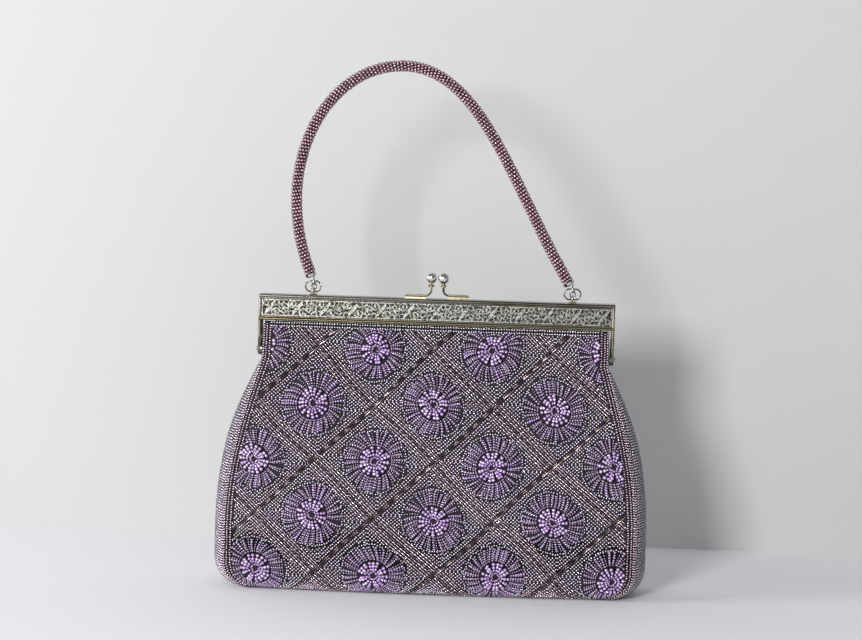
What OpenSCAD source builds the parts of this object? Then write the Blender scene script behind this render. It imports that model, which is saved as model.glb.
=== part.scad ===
// Kiss lock frame purse: a beaded bag on a hinged, silver plated metal frame, with a beaded rope handle.
// X runs along the frame, the front faces -Y, Z is up. The origin is on the floor, under the bag's middle.

/* [Frame] */
// Width of the frame over its two side arms
frame_w = 200; // [190:1:210]
// Height of the frame's top edge above the floor
frame_top_z = 164; // [155:1:180]
// Height of the frame's face
face_h = 14.5; // [13:0.5:17]
// Depth of one frame half, from its face to the parting plane
half_d = 6.5; // [6:0.25:8]
// Gap between the two closed halves
parting_gap = 0.3; // [0.2:0.05:0.5]
// Thickness of the frame's sheet metal
sheet_t = 0.7; // [0.5:0.05:0.8]
// How deep the filigree lies behind the rims
recess = 1.2; // [1:0.1:1.5]
// Diameter of the rolled rims round the face
roll_d = 1.7; // [1.4:0.1:2]
// Diameter of the thin bead beside the top and bottom rims
bead_d = 1; // [0.8:0.1:1.2]
// Height of the channel's inner wall
inner_wall_h = 11; // [8:0.5:12]

/* [Hinge] */
// Height of the hinge axis below the frame's top edge
hinge_drop = 31; // [28:0.5:36]
// Diameter of the rivet's shank
rivet_d = 2.6; // [2.2:0.1:3]
// Radial running clearance of the rivet in an ear
rivet_clearance = 0.05; // [0.02:0.01:0.1]
// Diameter of the rivet's outer head
rivet_head_d = 4.8; // [4:0.1:5.5]
// Height of the rivet's outer head
rivet_head_h = 0.9; // [0.6:0.1:1.2]
// Diameter of an ear
ear_d = 7.2; // [6.5:0.1:8]
// Thickness of a side arm and its ear
arm_t = 1; // [0.8:0.05:1.2]
// Side gap between ears, and between an ear and a rivet head
ear_gap = 0.2; // [0.1:0.05:0.3]
// Height over the hinge axis at which an ear has run out to the arm's width
arm_taper_h = 6; // [5:0.5:7]
// Height of the rear half's joggle over the hinge axis
joggle_rise = 8.1; // [7.5:0.1:10]
// Height of the joggle itself
joggle_h = 3; // [2:0.5:4]
// How far each half opens, in degrees
open_angle = 45; // [30:1:45]

/* [Filigree] */
// Thickness of the filigree strip
filigree_t = 0.8; // [0.6:0.1:1]
// Length of one repeat of the scrollwork
filigree_pitch = 15.6; // [13:0.1:18]
// Width of the scrollwork's wires
filigree_wire = 0.55; // [0.45:0.05:0.7]
// Gap between the strip and the rims
filigree_gap = 0.15; // [0.1:0.05:0.3]

/* [Kiss lock] */
// Diameter of a ball
ball_d = 6.3; // [5.5:0.1:6.6]
// Distance between the two balls' centres along the frame
ball_spacing = 6.8; // [6.7:0.1:8]
// Height of the balls' centres above the frame's top edge
ball_rise = 11.8; // [10.5:0.1:14]
// How far each ball crosses the parting plane
ball_cross = 1; // [0:0.1:1.5]
// Diameter of the arm's wire
arm_wire_d = 1.4; // [1.1:0.1:1.6]
// Radius of the arm's bend
arm_bend_r = 3.2; // [2.6:0.1:3.6]
// Length of the arm's foot
foot_l = 11.8; // [9:0.1:14]
// Width of the arm's foot
foot_w = 3; // [2.4:0.1:3.6]
// Height of the arm's foot
foot_h = 2.1; // [1.8:0.1:2.4]
// Diameter of the flared collar under a ball
collar_d = 3.6; // [3:0.1:4.4]

/* [Handle fittings] */
// Place of the left lug along the frame, left of the middle
left_lug_x = 70; // [60:1:80]
// Place of the right lug along the frame, right of the middle
right_lug_x = 76; // [60:1:85]
// Diameter of a lug's round base
lug_base_d = 5.6; // [5:0.1:5.9]
// Height of a lug's round base
lug_base_h = 0.8; // [0.6:0.1:1.2]
// Diameter of the wire of lugs and end cap eyes
eye_wire_d = 0.9; // [0.7:0.05:1]
// Inner diameter of lugs and end cap eyes
eye_d = 2.7; // [2.6:0.1:3]
// Outer diameter of a jump ring
ring_d = 6.9; // [6.6:0.1:7.6]
// Diameter of a jump ring's wire
ring_wire_d = 0.9; // [0.7:0.05:0.95]
// Sideways shift of each ring of a pair
ring_shift = 1.6; // [1:0.1:1.8]
// Turn of the left pair's second ring about the upright
ring_turn = 28; // [0:1:30]
// Outer diameter of an end cap's rim
cap_d = 7.3; // [7:0.1:8]
// Height of an end cap
cap_h = 2; // [1.6:0.1:2.6]
// Wall of an end cap
cap_wall = 0.5; // [0.4:0.05:0.6]
// Height of an end cap's foot above the middle of its eye
cap_rise = 2.8; // [2.7:0.1:3.4]

/* [Handle] */
// Diameter of the beaded rope
rope_d = 6.8; // [6:0.1:8]
// Diameter of the rope where its ends are drawn into the caps
rope_end_d = 5.3; // [4.8:0.1:5.5]
// Diameter of the core cord
core_d = 3.8; // [3:0.1:4.2]
// Height of the handle's crest, its middle line, above the frame's top edge
crest_rise = 130; // [110:1:150]
// Place of the handle's crest, left of the frame's middle
crest_x = 22.4; // [0:0.1:35]

/* [Bag] */
// How far the side seams lie in from the frame's sides, at the hinge
seam_inset = 2.7; // [2.7:0.1:8]
// How far the side seams spread past the frame's sides, at the widest
seam_spread = 15; // [5:1:25]
// How far the gussets bulge past the seams
gusset_bulge = 7; // [2:0.5:10]
// Half depth of the bag at its seams, at the deepest
depth_max = 26; // [20:0.5:32]
// How far the panels bulge past their seams
panel_bulge = 5; // [1:0.5:8]
// Height at which the bag is widest and deepest
belly_z = 35; // [25:1:45]
// Radius of the lower corners, seen from the front
corner_r = 16; // [10:1:20]
// Radius of the lower edge, seen from the side
edge_r = 8; // [5:0.5:10]
// Thickness of the beaded fabric
fabric_t = 1.8; // [1.5:0.1:2]
// Thickness of the bare fabric edge inside the frame's channel
edge_t = 0.9; // [0.7:0.1:1]
// Thickness of the lining
lining_t = 0.6; // [0.5:0.1:0.8]
// Gap between layers and panels
layer_gap = 0.3; // [0.25:0.05:0.4]
// Thickness of the base's stiffening card
card_t = 2; // [1.5:0.1:2.5]
// Diameter of the cord that holds the fabric in the channel
channel_cord_d = 1.5; // [1.2:0.1:1.6]
// How far the cord's ends stay clear of the frame's ends
cord_end_gap = 4; // [2:0.5:8]
// Slack between the fabric and the channel's outer wall
channel_slack = 0.2; // [0.1:0.05:0.3]
// How far below the frame's face the fabric starts to flare
neck_drop = 0.5; // [0.3:0.1:1]
// Length over which the fabric thins towards the channel
thinning_h = 4; // [2:0.5:6]
// Height over the hinge axis at which the swinging part of a panel starts
fold_above = 1; // [0.5:0.1:2]
// Depth below the hinge axis at which the fixed part of a panel ends
fold_below = 4; // [3:0.5:6]

/* [Hidden] */

eps = 0.01;
smooth = 32;
hinge_z = frame_top_z - hinge_drop;
half_w = frame_w / 2;
roll_r = roll_d / 2;
bead_r = bead_d / 2;
ear_r = ear_d / 2;

// Depths are measured outwards from the parting plane
floor_d = half_d - recess;
wall_in_d = floor_d - sheet_t;
inner_wall_d = parting_gap / 2;
inner_wall_out_d = inner_wall_d + sheet_t;
fabric_out_d = wall_in_d - channel_slack;
// The rim is a roll with half of a thinner bead beside it
rim_w = roll_d + 1.5 * bead_r;

// Side layers: the front half's ear lies outside the rear half's ear
outer_ear_x = half_w - arm_t;
inner_ear_x = outer_ear_x - ear_gap - arm_t;
joggle_low_z = hinge_z + joggle_rise;

// Fabric: the fixed walls end under the sweep of the parts that swing with the frame
seam_top_x = half_w - seam_inset;
seam_max_x = half_w + seam_spread;
flare_z = frame_top_z - face_h - neck_drop;
top_panel_low_z = hinge_z + fold_above;
panel_top_z = hinge_z - fold_below;
swept_low_z = hinge_z + fold_above * cos(open_angle) - seam_d(top_panel_low_z) * sin(open_angle);
gusset_top_z = swept_low_z - 2 * layer_gap;
base_t = fabric_t;
wall_low_z = base_t + layer_gap;

silver = [0.72, 0.70, 0.65];
pale_gold = [0.72, 0.68, 0.52];
plum = [0.22, 0.14, 0.24];
satin = [0.13, 0.10, 0.15];
card_brown = [0.55, 0.45, 0.33];
cord_white = [0.82, 0.78, 0.70];

function clamp01(v) = max(0, min(1, v));
function rise(v) = sin(90 * clamp01(v));
// What a rounded corner of radius r takes away at height h above its lowest point
function corner_cut(h, r) = h >= r ? 0 : r - sqrt(r * r - (r - h) * (r - h));

// Half depth at the side seams, at height z
function seam_d(z) =
    fabric_out_d + (depth_max - fabric_out_d) * rise((flare_z - z) / (flare_z - belly_z)) - corner_cut(z, edge_r);
// Half width at the side seams, at height z
function seam_x(z) =
    seam_top_x + (seam_max_x - seam_top_x) * rise((panel_top_z - z) / (panel_top_z - belly_z))
    - corner_cut(z, corner_r);
// Bulge of the panels and gussets past the seams, at height z: a little of it is left at the hinge
function swell(z) = 0.05 + 0.95 * rise((panel_top_z - z) / (0.55 * (panel_top_z - belly_z)));

// The panels' outline between the seams: inset is measured inwards
function panel_pt(u, z, inset) =
    [u * (seam_x(z) - layer_gap / 2), -(seam_d(z) - inset + panel_bulge * swell(z) * (1 - u * u)), z];
function gusset_pt(v, z, inset) =
    let (reach = seam_d(z) - fabric_t - layer_gap)
    [seam_x(z) - inset + gusset_bulge * swell(z) * (1 - v * v), v * reach, z];

// Heights of the sections through the bag's walls, closer together round the lower edge
function wall_levels(low, high) =
    concat([for (i = [0 : 4]) low + (edge_r - low) * i / 5], [for (i = [0 : 9]) edge_r + (high - edge_r) * i / 9]);

panel_steps = 18;
gusset_steps = 8;

function panel_section(z) = concat(
    [for (i = [0 : panel_steps]) panel_pt(-1 + 2 * i / panel_steps, z, 0)],
    [for (i = [panel_steps : -1 : 0]) panel_pt(-1 + 2 * i / panel_steps, z, fabric_t)]
);
function gusset_section(z) = concat(
    [for (i = [0 : gusset_steps]) gusset_pt(-1 + 2 * i / gusset_steps, z, 0)],
    [for (i = [gusset_steps : -1 : 0]) gusset_pt(-1 + 2 * i / gusset_steps, z, fabric_t)]
);
// The whole outline of the bag at height z, drawn in by inset and set at height at
function bag_section(z, inset, at) =
    let (x = seam_x(z) - inset, d = seam_d(z) - inset, b = panel_bulge * swell(z), g = gusset_bulge * swell(z))
    concat(
        [for (i = [0 : 11]) let (u = -1 + i / 6) [u * x, -(d + b * (1 - u * u)), at]],
        [for (i = [0 : 5]) let (v = -1 + i / 3) [x + g * (1 - v * v), v * d, at]],
        [for (i = [0 : 11]) let (u = 1 - i / 6) [u * x, d + b * (1 - u * u), at]],
        [for (i = [0 : 5]) let (v = 1 - i / 3) [-(x + g * (1 - v * v)), v * d, at]]
    );

// A skin over sections that all have the same number of points, closed at its ends or back on itself
module skin(sections, loop = false) {
    n = len(sections[0]);
    rows = len(sections);
    points = [for (s = sections) for (p = s) p];
    last = loop ? rows - 1 : rows - 2;
    sides = [
        for (i = [0 : last]) for (j = [0 : n - 1])
            let (k = (j + 1) % n, a = i * n, b = ((i + 1) % rows) * n)
            each [[a + j, b + j, b + k], [a + j, b + k, a + k]]
    ];
    caps = loop ? [] : [[for (j = [0 : n - 1]) j], [for (j = [n - 1 : -1 : 0]) (rows - 1) * n + j]];
    polyhedron(points = points, faces = concat(sides, caps), convexity = 6);
}

// Cross-section shapes are drawn with depth to the right and height up, and run along the frame's width
module along_frame(length) {
    rotate([90, 0, -90]) translate([0, 0, -length / 2]) linear_extrude(length) children();
}

module rear_side() {
    mirror([0, 1, 0]) children();
}

// Frame

module rail_profile() {
    translate([0, frame_top_z]) {
        translate([inner_wall_d, -sheet_t]) square([half_d - roll_r - inner_wall_d, sheet_t]);
        translate([wall_in_d, -face_h + roll_r]) square([sheet_t, face_h - roll_r]);
        translate([inner_wall_d, -inner_wall_h]) square([sheet_t, inner_wall_h]);
        translate([half_d - roll_r, -roll_r]) circle(r = roll_r, $fn = smooth);
        translate([wall_in_d, -roll_d]) square([half_d - roll_r - wall_in_d, roll_d]);
        translate([floor_d + bead_r / 2, -roll_d - bead_r / 2]) circle(r = bead_r, $fn = smooth);
        translate([half_d - roll_r, -face_h + roll_r]) circle(r = roll_r, $fn = smooth);
        translate([wall_in_d, -face_h]) square([half_d - roll_r - wall_in_d, roll_d]);
        translate([floor_d + bead_r / 2, -face_h + roll_d + bead_r / 2]) circle(r = bead_r, $fn = smooth);
    }
}

// A side arm's plate, seen from the side; low is where its outline starts and ear adds the hinge ear
module arm_outline(low, high) {
    translate([inner_wall_d, low]) square([half_d - roll_r - inner_wall_d, high - low]);
}

module ear_outline() {
    blend_z = hinge_z + arm_taper_h;
    difference() {
        union() {
            translate([0, hinge_z]) circle(r = ear_r, $fn = 2 * smooth);
            polygon([
                [ear_r * cos(150), hinge_z + ear_r * sin(150)],
                [0, hinge_z],
                [ear_r * cos(20), hinge_z - ear_r * sin(20)],
                [half_d - roll_r, blend_z],
                [inner_wall_d, blend_z]
            ]);
        }
        translate([0, hinge_z]) circle(d = rivet_d + 2 * rivet_clearance, $fn = 2 * smooth);
    }
}

// A plate of the side arms, x is its inner face
module side_plate(x, t) {
    translate([x, 0, 0]) rotate([90, 0, -90]) translate([0, 0, -t]) linear_extrude(t) children();
}

module end_roll(low) {
    for (side = [-1, 1])
        translate([side * (half_w - roll_r), -(half_d - roll_r), low])
            cylinder(r = roll_r, h = frame_top_z - roll_r - low, $fn = smooth);
}

module both_ends() {
    children();
    mirror([1, 0, 0]) children();
}

module frame_half(outer_ear) {
    arm_low = outer_ear ? hinge_z + arm_taper_h - eps : joggle_low_z;
    along_frame(frame_w - roll_d) rail_profile();
    both_ends() {
        side_plate(outer_ear_x, arm_t) arm_outline(arm_low, frame_top_z);
        translate([half_w - roll_d, -(half_d - roll_r), frame_top_z - face_h])
            cube([roll_r, recess, face_h]);
        if (outer_ear)
            side_plate(outer_ear_x, arm_t) ear_outline();
        else {
            side_plate(inner_ear_x, half_w - inner_ear_x) arm_outline(joggle_low_z, joggle_low_z + joggle_h);
            side_plate(inner_ear_x, arm_t) arm_outline(hinge_z + arm_taper_h - eps, joggle_low_z + eps);
            side_plate(inner_ear_x, arm_t) ear_outline();
        }
    }
    end_roll(arm_low);
}

module front_frame() {
    color(silver) frame_half(true);
}

module rear_frame() {
    color(silver) rear_side() frame_half(false);
}

module hinge_rivet() {
    inner_x = inner_ear_x - ear_gap;
    outer_x = half_w + ear_gap;
    inner_head_d = rivet_d + 1.6;
    inner_head_h = 0.6;
    translate([0, 0, hinge_z]) rotate([0, 90, 0]) {
        translate([0, 0, inner_x - inner_head_h]) cylinder(d = inner_head_d, h = inner_head_h, $fn = smooth);
        translate([0, 0, inner_x - eps]) cylinder(d = rivet_d, h = outer_x - inner_x + 2 * eps, $fn = smooth);
        translate([0, 0, outer_x])
            cylinder(d1 = rivet_head_d, d2 = rivet_head_d * 0.6, h = rivet_head_h, $fn = smooth);
    }
}

module left_hinge_rivet() {
    color(silver) mirror([1, 0, 0]) hinge_rivet();
}

module right_hinge_rivet() {
    color(silver) hinge_rivet();
}

// Filigree strip: a row of flowers between slanted leaves and scrolls, held by two rails

filigree_low_z = frame_top_z - face_h + rim_w + filigree_gap;
filigree_high_z = frame_top_z - rim_w - filigree_gap;
filigree_h = filigree_high_z - filigree_low_z;
filigree_l = frame_w - 2 * roll_d - 2 * filigree_gap;
filigree_count = floor(filigree_l / filigree_pitch);
flower_r = filigree_h * 0.32;

module hoop(r) {
    difference() {
        circle(r = r, $fn = smooth);
        circle(r = r - filigree_wire, $fn = smooth);
    }
}

module leaf(length, width) {
    r = (length * length / 4 + width * width / 4) / width;
    intersection() {
        translate([0, r - width / 2]) circle(r = r, $fn = smooth);
        translate([0, width / 2 - r]) circle(r = r, $fn = smooth);
    }
}

module filigree_flower() {
    hoop(flower_r);
    circle(r = flower_r * 0.3, $fn = smooth);
    for (a = [0 : 60 : 300])
        rotate(a) translate([flower_r * 0.58, 0]) leaf(flower_r * 0.72, filigree_wire * 1.1);
}

module filigree_unit() {
    scroll_r = filigree_h / 4;
    filigree_flower();
    for (a = [-90, 90])
        rotate(a) translate([flower_r - filigree_wire / 2, -filigree_wire / 2])
            square([filigree_h / 2 - flower_r, filigree_wire]);
    for (side = [-1, 1]) {
        translate([side * (flower_r + scroll_r * 0.72), side * (filigree_h / 2 - scroll_r)]) {
            hoop(scroll_r);
            circle(r = scroll_r * 0.3, $fn = smooth);
            rotate(90 - side * 50) translate([-scroll_r * 0.9, -filigree_wire / 2])
                square([scroll_r * 0.9, filigree_wire]);
        }
        translate([side * (flower_r + scroll_r * 0.5), -side * (filigree_h / 2 - scroll_r * 0.7)])
            hoop(scroll_r * 0.75);
    }
}

module filigree_link() {
    rotate(52) leaf(filigree_h * 1.16, filigree_h * 0.22);
    curl_x = filigree_h * 0.24;
    curl_y = filigree_h * 0.26;
    curl_r = filigree_h * 0.17;
    rotate(-atan2(curl_y, curl_x))
        square([2 * (norm([curl_x, curl_y]) - curl_r) + filigree_wire, filigree_wire], center = true);
    for (side = [-1, 1])
        translate([side * curl_x, -side * curl_y]) hoop(curl_r);
}

module filigree_drawing() {
    rail = filigree_wire * 1.1;
    for (side = [-1, 1])
        translate([-filigree_l / 2, side * (filigree_h - rail) / 2 - rail / 2]) square([filigree_l, rail]);
    for (side = [-1, 1])
        translate([side * (filigree_l - rail) / 2 - rail / 2, -filigree_h / 2]) square([rail, filigree_h]);
    intersection() {
        translate([-filigree_l / 2, -filigree_h / 2]) square([filigree_l, filigree_h]);
        union() {
            for (i = [0 : filigree_count - 1])
                translate([(i - (filigree_count - 1) / 2) * filigree_pitch, 0]) filigree_unit();
            for (i = [0 : filigree_count])
                translate([(i - filigree_count / 2) * filigree_pitch, 0]) filigree_link();
        }
    }
}

module filigree_strip() {
    translate([0, -floor_d, (filigree_low_z + filigree_high_z) / 2])
        rotate([90, 0, 0]) linear_extrude(filigree_t) filigree_drawing();
}

module front_filigree() {
    color(silver) filigree_strip();
}

module rear_filigree() {
    color(silver) rear_side() filigree_strip();
}

// Kiss lock

// Height of the arm's horizontal leg above the frame's top, and its tilt over to the other half
leg_rise = foot_h - 0.25;
leg_d = half_d / 2;
ball_reach = sqrt((ball_rise - leg_rise) * (ball_rise - leg_rise) + (leg_d + ball_cross) * (leg_d + ball_cross));
ball_tilt = atan2(leg_d + ball_cross, ball_rise - leg_rise);
foot_x = ball_spacing / 2 + arm_bend_r;
// The bent wire is a little thinner than the straight lengths that it joins
straight_r = arm_wire_d / 2;
bend_wire_r = straight_r - 0.08;
// Height over the leg of the flat seat under the ball
ball_seat = ball_d * 0.47;
collar_h = 1.95;
seat_z = ball_reach - ball_seat;

// Children are drawn upright over the leg's axis and tilted across the parting plane
module over_leg() {
    translate([0, -leg_d, frame_top_z + leg_rise]) rotate([-ball_tilt, 0, 0]) children();
}

module clasp_foot() {
    profile_r = foot_w / 2;
    shoulder_h = foot_h - profile_r;
    translate([foot_x - 0.5, -leg_d, frame_top_z]) rotate([90, 0, 90]) linear_extrude(foot_l)
        union() {
            translate([-profile_r, 0]) square([foot_w, shoulder_h]);
            intersection() {
                translate([0, shoulder_h]) circle(r = profile_r, $fn = 2 * smooth);
                translate([-profile_r, shoulder_h]) square([foot_w, profile_r]);
            }
        }
}

module clasp_arm() {
    ball_x = ball_spacing / 2;
    clasp_foot();
    over_leg() {
        translate([foot_x, 0, 0]) rotate([0, 90, 0]) cylinder(r = straight_r, h = foot_l - 1.5, $fn = smooth);
        translate([foot_x, 0, arm_bend_r]) rotate([90, 0, 0]) rotate([0, 0, 180])
            rotate_extrude(angle = 90, $fn = 2 * smooth)
                translate([arm_bend_r, 0]) circle(r = bend_wire_r, $fn = smooth);
        translate([ball_x, 0, arm_bend_r - 0.2])
            cylinder(r = straight_r, h = seat_z - arm_bend_r + 0.2, $fn = smooth);
        translate([ball_x, 0, seat_z - collar_h - 0.2])
            rotate_extrude($fn = 2 * smooth) polygon([
                [0, 0], [collar_d / 2, 0], [collar_d / 2, 0.35], [straight_r + 0.2, 0.9], [straight_r + 0.2, 1.3],
                [collar_d * 0.36, 1.7], [collar_d * 0.36, collar_h], [0, collar_h]
            ]);
    }
}

// A ball with the flat seat that it is soldered on by
module clasp_ball() {
    over_leg() translate([ball_spacing / 2, 0, ball_reach])
        rotate_extrude($fn = 2 * smooth) intersection() {
            circle(d = ball_d, $fn = 2 * smooth);
            translate([0, -ball_seat]) square([ball_d, ball_d]);
        }
}

module front_clasp_arm() {
    color(pale_gold) mirror([1, 0, 0]) clasp_arm();
}

module front_clasp_ball() {
    color(silver) mirror([1, 0, 0]) clasp_ball();
}

module rear_clasp_arm() {
    color(pale_gold) rear_side() clasp_arm();
}

module rear_clasp_ball() {
    color(silver) rear_side() clasp_ball();
}

// Lugs, jump rings and end caps

eye_r = (eye_d + eye_wire_d) / 2;
ring_r = (ring_d - ring_wire_d) / 2;
lug_d = half_d / 2;
lug_axis_z = frame_top_z + lug_base_h + eye_d / 2 + 0.1;
// A pair of rings crosses the lug and the cap's eye this far below and above the rings' centres
ring_cross = sqrt(ring_r * ring_r - ring_shift * ring_shift);
ring_axis_z = lug_axis_z + 2 * ring_cross;
ring_side_d = ring_wire_d / 2 + 0.1;

// A wire eye in the plane square to the frame's length, round the point it is placed at
module wire_eye() {
    rotate([0, 90, 0]) rotate_extrude($fn = 2 * smooth) translate([eye_r, 0]) circle(d = eye_wire_d, $fn = smooth);
}

module lug() {
    translate([0, lug_d, frame_top_z])
        cylinder(d1 = lug_base_d, d2 = lug_base_d * 0.72, h = lug_base_h, $fn = 2 * smooth);
    translate([0, lug_d, lug_axis_z]) wire_eye();
}

module jump_ring(shift, turn, side_d) {
    translate([0, lug_d + side_d, lug_axis_z + ring_cross]) rotate([0, 0, turn]) translate([shift, 0, 0])
        rotate([90, 0, 0]) rotate_extrude($fn = 2 * smooth) translate([ring_r, 0])
            circle(d = ring_wire_d, $fn = smooth);
}

module left_lug() {
    color(pale_gold) translate([-left_lug_x, 0, 0]) lug();
}

module right_lug() {
    color(pale_gold) translate([right_lug_x, 0, 0]) lug();
}

module left_jump_rings() {
    color(silver) translate([-left_lug_x, 0, 0]) {
        jump_ring(-ring_shift, 0, -ring_side_d);
        jump_ring(ring_shift, -ring_turn, ring_side_d);
    }
}

module right_jump_rings() {
    color(silver) translate([right_lug_x, 0, 0]) {
        jump_ring(-ring_shift, 0, -ring_side_d);
        jump_ring(ring_shift, 0, ring_side_d);
    }
}

// Handle: its middle line is two cubic curves that meet level at the crest

left_start = [-left_lug_x, ring_axis_z];
right_start = [right_lug_x, ring_axis_z];
crest = [-crest_x, frame_top_z + crest_rise];
left_lean = 115;
right_lean = 123;
left_pull = 0.52 * crest_rise;
right_pull = 0.49 * crest_rise;
crest_left_pull = 45;
crest_right_pull = 45;
curve_steps = 24;

function heading(a) = [cos(a), sin(a)];
function cubic(a, b, c, d, t) =
    a * pow(1 - t, 3) + 3 * b * t * pow(1 - t, 2) + 3 * c * t * t * (1 - t) + d * pow(t, 3);
function cubic_slope(a, b, c, d, t) =
    (b - a) * pow(1 - t, 2) + 2 * (c - b) * t * (1 - t) + (d - c) * t * t;

left_points = [
    left_start, left_start + left_pull * heading(left_lean), crest - [crest_left_pull, 0], crest
];
right_points = [
    crest, crest + [crest_right_pull, 0], right_start + right_pull * heading(right_lean), right_start
];

function at_curve(p, t) = cubic(p[0], p[1], p[2], p[3], t);
function slope_curve(p, t) = let (v = cubic_slope(p[0], p[1], p[2], p[3], t)) v / norm(v);

// Distance along the curve's ends that the caps take up, as a share of each curve
cap_floor = 0.9;
cap_length = cap_rise + cap_floor + 0.1;
left_from = cap_length / (3 * left_pull);
right_to = 1 - cap_length / (3 * right_pull);

stations = concat(
    [for (i = [0 : curve_steps]) let (t = left_from + (1 - left_from) * i / curve_steps)
        [at_curve(left_points, t), slope_curve(left_points, t)]],
    [for (i = [1 : curve_steps]) let (t = right_to * i / curve_steps)
        [at_curve(right_points, t), slope_curve(right_points, t)]]
);
station_count = len(stations);

function rope_section(i, r, sides) =
    let (c = stations[i][0], t = stations[i][1])
    [for (k = [0 : sides - 1]) let (a = 360 * k / sides)
        [c[0] + r * cos(a) * t[1], lug_d + r * sin(a), c[1] - r * cos(a) * t[0]]];

// The rope's radius is drawn in at its first and last stations
function rope_r(i) = (i == 0 || i == station_count - 1) ? rope_end_d / 2 : rope_d / 2;

module end_cap(start, lean) {
    tilt = lean - 90;
    rim_r = cap_d / 2;
    seat_r = rope_end_d / 2 + 0.2;
    shoulder_z = cap_rise + cap_wall * 1.5;
    floor_z = cap_rise + cap_floor;
    top_z = cap_rise + cap_h;
    translate([start[0], lug_d, start[1]]) {
        wire_eye();
        translate([0, 0, eye_r])
            cylinder(d = eye_wire_d - 0.06, h = (cap_rise + cap_floor / 2) / cos(tilt) - eye_r, $fn = smooth);
        rotate([0, -tilt, 0]) rotate_extrude($fn = 2 * smooth) polygon([
            [0, cap_rise], [rim_r * 0.52, cap_rise], [seat_r + cap_wall * 0.8, shoulder_z], [rim_r, top_z],
            [rim_r - cap_wall, top_z], [seat_r, floor_z], [0, floor_z]
        ]);
    }
}

module left_end_cap() {
    color(silver) end_cap(left_start, left_lean);
}

module right_end_cap() {
    color(silver) end_cap(right_start, right_lean);
}

module handle_core() {
    color(cord_white) skin([for (i = [0 : station_count - 1]) rope_section(i, core_d / 2, 8)]);
}

module handle_beading() {
    bore_r = core_d / 2 + 0.15;
    color(plum) skin(concat(
        [for (i = [0 : station_count - 1]) rope_section(i, rope_r(i), 12)],
        [for (i = [station_count - 1 : -1 : 0]) rope_section(i, bore_r, 12)]
    ), loop = true);
}

// Beaded fabric, lining and card

module panel_below() {
    skin([for (z = wall_levels(wall_low_z, panel_top_z)) panel_section(z)]);
}

// Depth of the swinging panels' inner face: they thin to a bare edge where they enter the channel
function panel_in_d(z) =
    let (edge_d = fabric_out_d - edge_t, share = clamp01((z - (flare_z - thinning_h)) / thinning_h))
    share * edge_d + (1 - share) * (seam_d(min(z, flare_z - thinning_h)) - fabric_t);

fabric_high_z = frame_top_z - sheet_t - layer_gap;
profile_steps = 8;
function profile_levels(low) = [for (i = [0 : profile_steps]) low + (flare_z - low) * i / profile_steps];

// The part of a panel that swings with the frame, as a shape in depth and height
module panel_top_profile() {
    levels = profile_levels(top_panel_low_z);
    polygon(concat(
        [for (z = levels) [seam_d(z), z]],
        [[fabric_out_d, fabric_high_z], [fabric_out_d - edge_t, fabric_high_z]],
        [for (i = [profile_steps : -1 : 0]) [panel_in_d(levels[i]), levels[i]]]
    ));
}

// The lining behind it
module lining_top_profile() {
    levels = profile_levels(top_panel_low_z + lining_t);
    out_d = fabric_out_d - edge_t - layer_gap;
    polygon(concat(
        [for (z = levels) [panel_in_d(z) - layer_gap, z]],
        [[out_d, fabric_high_z], [out_d - lining_t, fabric_high_z]],
        [for (i = [profile_steps : -1 : 0]) [panel_in_d(levels[i]) - layer_gap - lining_t, levels[i]]]
    ));
}

module channel_cord() {
    cord_l = frame_w - 2 * roll_d - 2 * cord_end_gap;
    centre_d = inner_wall_out_d + layer_gap / 2 + channel_cord_d / 2;
    translate([-cord_l / 2, -centre_d, frame_top_z - face_h / 2]) rotate([0, 90, 0])
        cylinder(d = channel_cord_d, h = cord_l, $fn = smooth);
}

module fold_strip() {
    low = panel_top_z + layer_gap;
    high = top_panel_low_z - layer_gap;
    along_frame(2 * seam_top_x) polygon([
        [seam_d(low), low], [seam_d(high), high], [seam_d(high) - fabric_t, high], [seam_d(low) - fabric_t, low]
    ]);
}

module front_panel() {
    color(plum) panel_below();
}

module rear_panel() {
    color(plum) rear_side() panel_below();
}

module gusset() {
    skin([for (z = wall_levels(wall_low_z, gusset_top_z)) gusset_section(z)]);
}

module left_gusset() {
    color(plum) rotate([0, 0, 180]) gusset();
}

module right_gusset() {
    color(plum) gusset();
}

module base_panel() {
    color(plum) skin([for (i = [0 : 3]) let (z = base_t * i / 3) bag_section(z, 0, z)]);
}

module base_card() {
    low = wall_low_z;
    margin = fabric_t + layer_gap + 0.5;
    corner = 8;
    x = seam_x(low) - margin;
    d = seam_d(low) - margin;
    color(card_brown) translate([0, 0, low]) linear_extrude(card_t) {
        square([2 * (x - corner), 2 * d], center = true);
        square([2 * x, 2 * (d - corner)], center = true);
        for (sx = [-1, 1], sd = [-1, 1])
            translate([sx * (x - corner), sd * (d - corner)]) circle(r = corner, $fn = smooth);
    }
}

module lining() {
    low = wall_low_z + card_t + layer_gap;
    out = fabric_t + layer_gap;
    levels = concat([low], [for (i = [0 : 9]) edge_r + (gusset_top_z - edge_r) * i / 9]);
    inner = concat([for (i = [9 : -1 : 0]) edge_r + (gusset_top_z - edge_r) * i / 9], [low + lining_t]);
    color(satin) skin(concat(
        [for (z = levels) bag_section(z, out, z)],
        [for (z = inner) bag_section(z, out + lining_t, z)]
    ));
}

module front_panel_top() {
    color(plum) along_frame(2 * seam_top_x) panel_top_profile();
}

module rear_panel_top() {
    color(plum) rear_side() along_frame(2 * seam_top_x) panel_top_profile();
}

module front_lining_top() {
    color(satin) along_frame(2 * (seam_top_x - 0.5)) lining_top_profile();
}

module rear_lining_top() {
    color(satin) rear_side() along_frame(2 * (seam_top_x - 0.5)) lining_top_profile();
}

module front_channel_cord() {
    color(cord_white) channel_cord();
}

module rear_channel_cord() {
    color(cord_white) rear_side() channel_cord();
}

module front_fold() {
    color(plum) fold_strip();
}

module rear_fold() {
    color(plum) rear_side() fold_strip();
}

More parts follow.
